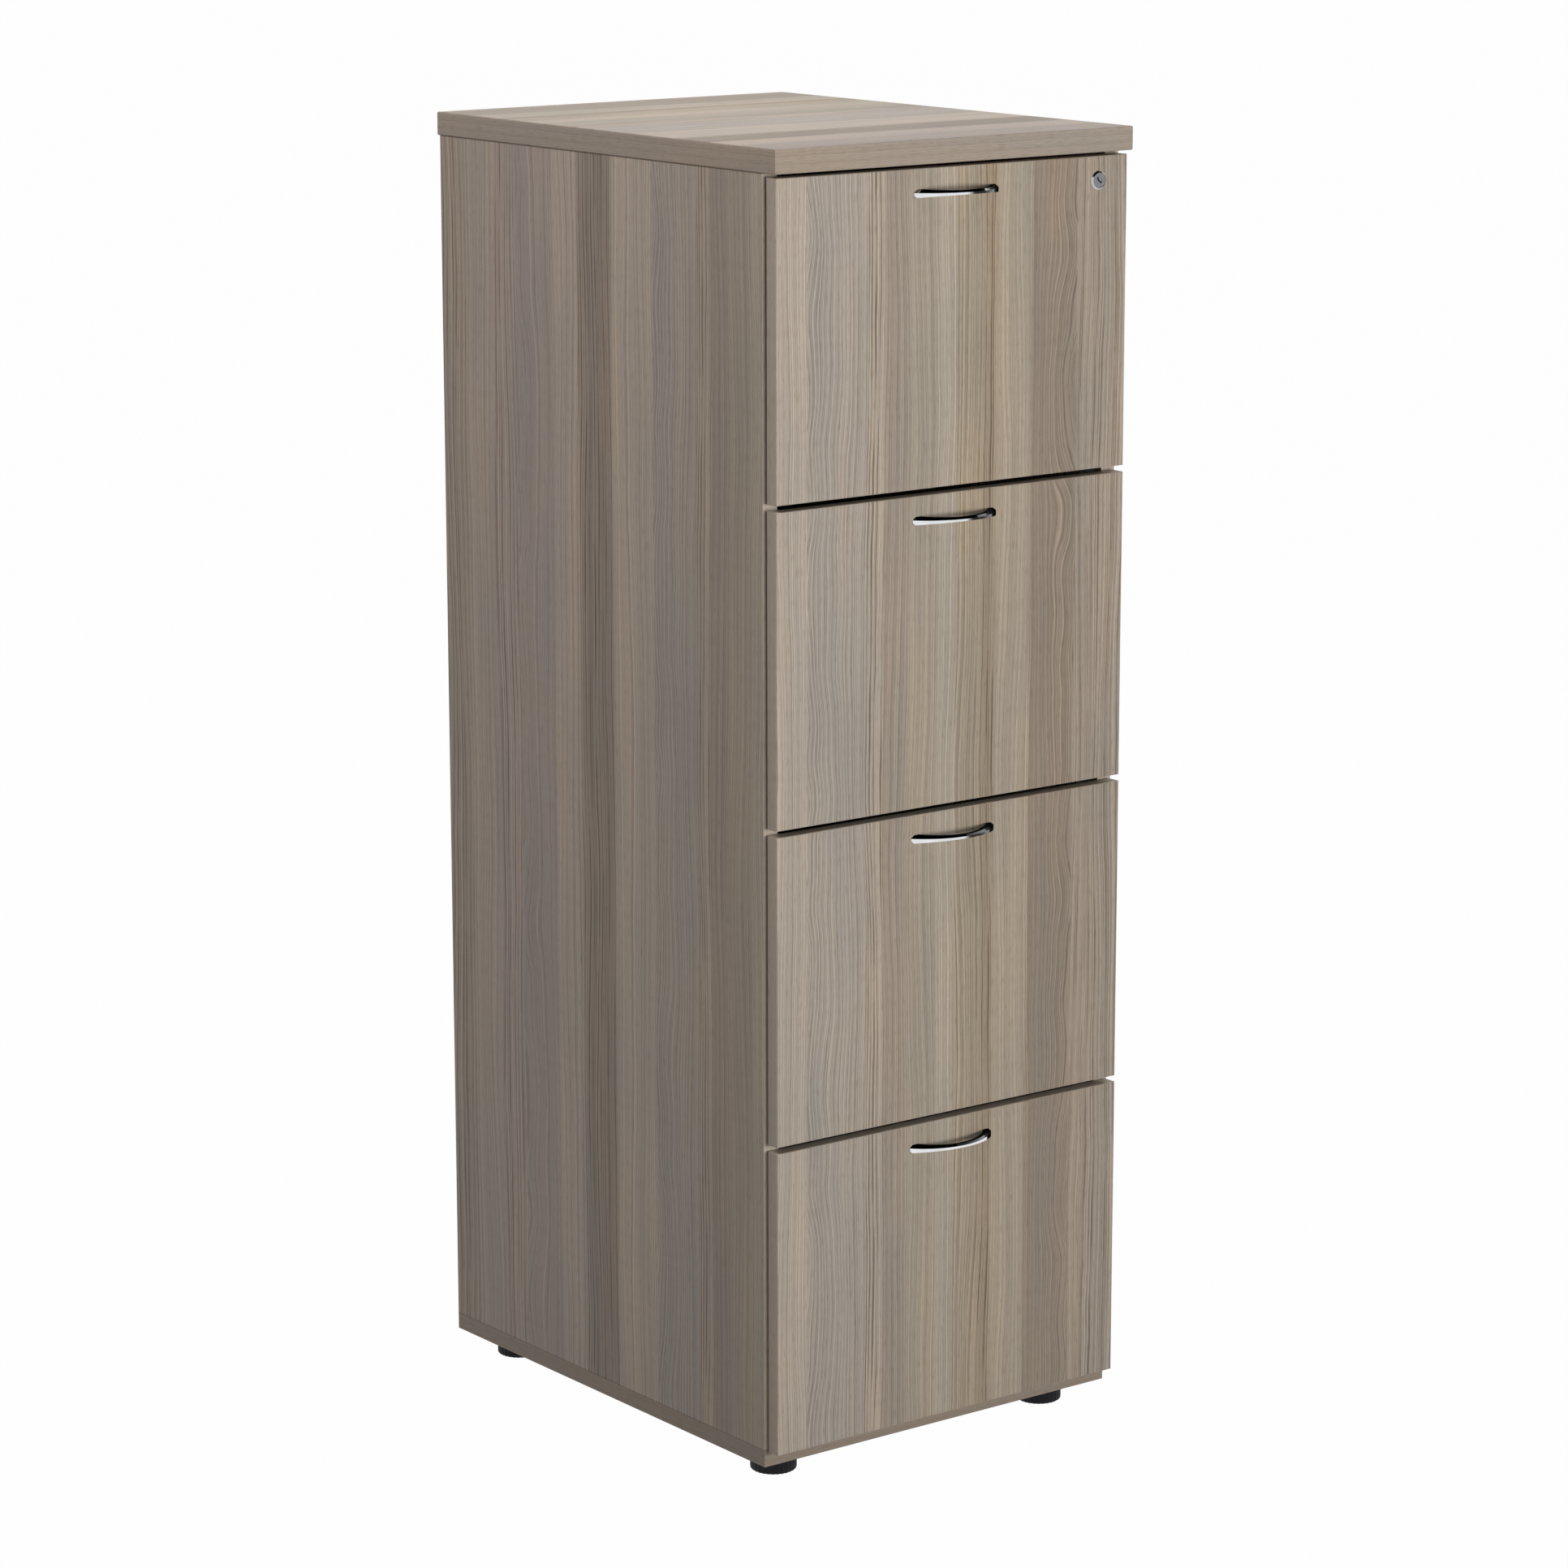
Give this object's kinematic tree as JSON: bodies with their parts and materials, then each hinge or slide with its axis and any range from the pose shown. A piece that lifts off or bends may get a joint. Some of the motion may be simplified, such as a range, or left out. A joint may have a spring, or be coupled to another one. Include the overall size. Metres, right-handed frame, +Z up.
{
  "type": "filing cabinet",
  "caption": "Tall free-standing filing cabinet of wood-effect board, with file drawers on telescopic runners, bow handles, a key lock that locks every drawer, and levelling feet.",
  "frame": {"origin": "on the floor, in the middle of the box round the whole cabinet with its handles", "axes": "+Z up, +X to the right and -Y towards a person facing the drawers"},
  "size_m": [0.464, 0.6216, 1.391],
  "materials": {
    "board": "grey-brown wood-effect melamine, satin",
    "tongue_beech": "plain beech",
    "handle_chrome": "polished",
    "tray_steel": "grey powder coat",
    "runner_steel": "bright zinc plate",
    "zinc_steel": "zinc plate",
    "lock_chrome": "polished",
    "lock_face": "fine matt nickel",
    "bar_aluminium": "mill finish",
    "clip_plastic": "matt black",
    "foot_plastic": "matt black"
  },
  "bodies": {
    "carcass": {"top_panel": "board", "bottom_panel": "board", "left_side_panel": "board", "right_side_panel": "board", "back_panel": "board", "carcass_tongues": "tongue_beech", "lock_bar_clips": "clip_plastic", "foot_sleeves": "zinc_steel", "drawer_1_outer_runners": "runner_steel", "drawer_2_outer_runners": "runner_steel", "drawer_3_outer_runners": "runner_steel", "drawer_4_outer_runners": "runner_steel"},
    "drawer_1": {"drawer_1_front": "board", "drawer_1_handle": "handle_chrome", "drawer_1_tray": "tray_steel", "drawer_1_handle_screws": "zinc_steel", "drawer_1_catch": "zinc_steel", "drawer_1_inner_runners": "runner_steel", "lock_barrel": "lock_chrome", "lock_nut": "zinc_steel"},
    "drawer_1_runner_stage": {"drawer_1_middle_runners": "runner_steel"},
    "drawer_2": {"drawer_2_front": "board", "drawer_2_handle": "handle_chrome", "drawer_2_tray": "tray_steel", "drawer_2_handle_screws": "zinc_steel", "drawer_2_catch": "zinc_steel", "drawer_2_inner_runners": "runner_steel"},
    "drawer_2_runner_stage": {"drawer_2_middle_runners": "runner_steel"},
    "drawer_3": {"drawer_3_front": "board", "drawer_3_handle": "handle_chrome", "drawer_3_tray": "tray_steel", "drawer_3_handle_screws": "zinc_steel", "drawer_3_catch": "zinc_steel", "drawer_3_inner_runners": "runner_steel"},
    "drawer_3_runner_stage": {"drawer_3_middle_runners": "runner_steel"},
    "drawer_4": {"drawer_4_front": "board", "drawer_4_handle": "handle_chrome", "drawer_4_tray": "tray_steel", "drawer_4_handle_screws": "zinc_steel", "drawer_4_catch": "zinc_steel", "drawer_4_inner_runners": "runner_steel"},
    "drawer_4_runner_stage": {"drawer_4_middle_runners": "runner_steel"},
    "lock_plug": {"lock_rotor": "lock_face", "lock_cam": "zinc_steel"},
    "lock_rod": {"lock_bar": "bar_aluminium", "lock_bar_pins": "zinc_steel", "lock_driver": "zinc_steel"},
    "front_left_foot": {"foot_front_left": "foot_plastic", "foot_stem_front_left": "zinc_steel"},
    "front_right_foot": {"foot_front_right": "foot_plastic", "foot_stem_front_right": "zinc_steel"},
    "back_left_foot": {"foot_back_left": "foot_plastic", "foot_stem_back_left": "zinc_steel"},
    "back_right_foot": {"foot_back_right": "foot_plastic", "foot_stem_back_right": "zinc_steel"}
  },
  "joints": [
    {"name": "drawer_1_slide", "type": "slide", "parent": "carcass", "child": "drawer_1", "axis": [0, -1, 0], "range_m": [0, 0.5]},
    {"name": "drawer_1_runner_slide", "type": "slide", "parent": "carcass", "child": "drawer_1_runner_stage", "axis": [0, -1, 0], "range_m": [0, 0.25]},
    {"name": "drawer_2_slide", "type": "slide", "parent": "carcass", "child": "drawer_2", "axis": [0, -1, 0], "range_m": [0, 0.5]},
    {"name": "drawer_2_runner_slide", "type": "slide", "parent": "carcass", "child": "drawer_2_runner_stage", "axis": [0, -1, 0], "range_m": [0, 0.25]},
    {"name": "drawer_3_slide", "type": "slide", "parent": "carcass", "child": "drawer_3", "axis": [0, -1, 0], "range_m": [0, 0.5]},
    {"name": "drawer_3_runner_slide", "type": "slide", "parent": "carcass", "child": "drawer_3_runner_stage", "axis": [0, -1, 0], "range_m": [0, 0.25]},
    {"name": "drawer_4_slide", "type": "slide", "parent": "carcass", "child": "drawer_4", "axis": [0, -1, 0], "range_m": [0, 0.5]},
    {"name": "drawer_4_runner_slide", "type": "slide", "parent": "carcass", "child": "drawer_4_runner_stage", "axis": [0, -1, 0], "range_m": [0, 0.25]},
    {"name": "lock_turn", "type": "hinge", "parent": "drawer_1", "child": "lock_plug", "pos_m": [0.189, -0.28575, 1.337], "axis": [0, -1, 0], "range_deg": [-90, 0]},
    {"name": "lock_bar_slide", "type": "slide", "parent": "carcass", "child": "lock_rod", "axis": [0, 0, 1], "range_m": [-0.0099, 0]},
    {"name": "front_left_foot_screw", "type": "slide", "parent": "carcass", "child": "front_left_foot", "axis": [0, 0, -1], "range_m": [0, 0.01]},
    {"name": "front_right_foot_screw", "type": "slide", "parent": "carcass", "child": "front_right_foot", "axis": [0, 0, -1], "range_m": [0, 0.01]},
    {"name": "back_left_foot_screw", "type": "slide", "parent": "carcass", "child": "back_left_foot", "axis": [0, 0, -1], "range_m": [0, 0.01]},
    {"name": "back_right_foot_screw", "type": "slide", "parent": "carcass", "child": "back_right_foot", "axis": [0, 0, -1], "range_m": [0, 0.01]}
  ],
  "couplings": [
    {"joint": "drawer_1_runner_slide", "follows": "drawer_1_slide", "ratio": 0.5},
    {"joint": "drawer_2_runner_slide", "follows": "drawer_2_slide", "ratio": 0.5},
    {"joint": "drawer_3_runner_slide", "follows": "drawer_3_slide", "ratio": 0.5},
    {"joint": "drawer_4_runner_slide", "follows": "drawer_4_slide", "ratio": 0.5},
    {"joint": "lock_turn", "follows": "lock_bar_slide", "rad_per_m": 158.67}
  ]
}
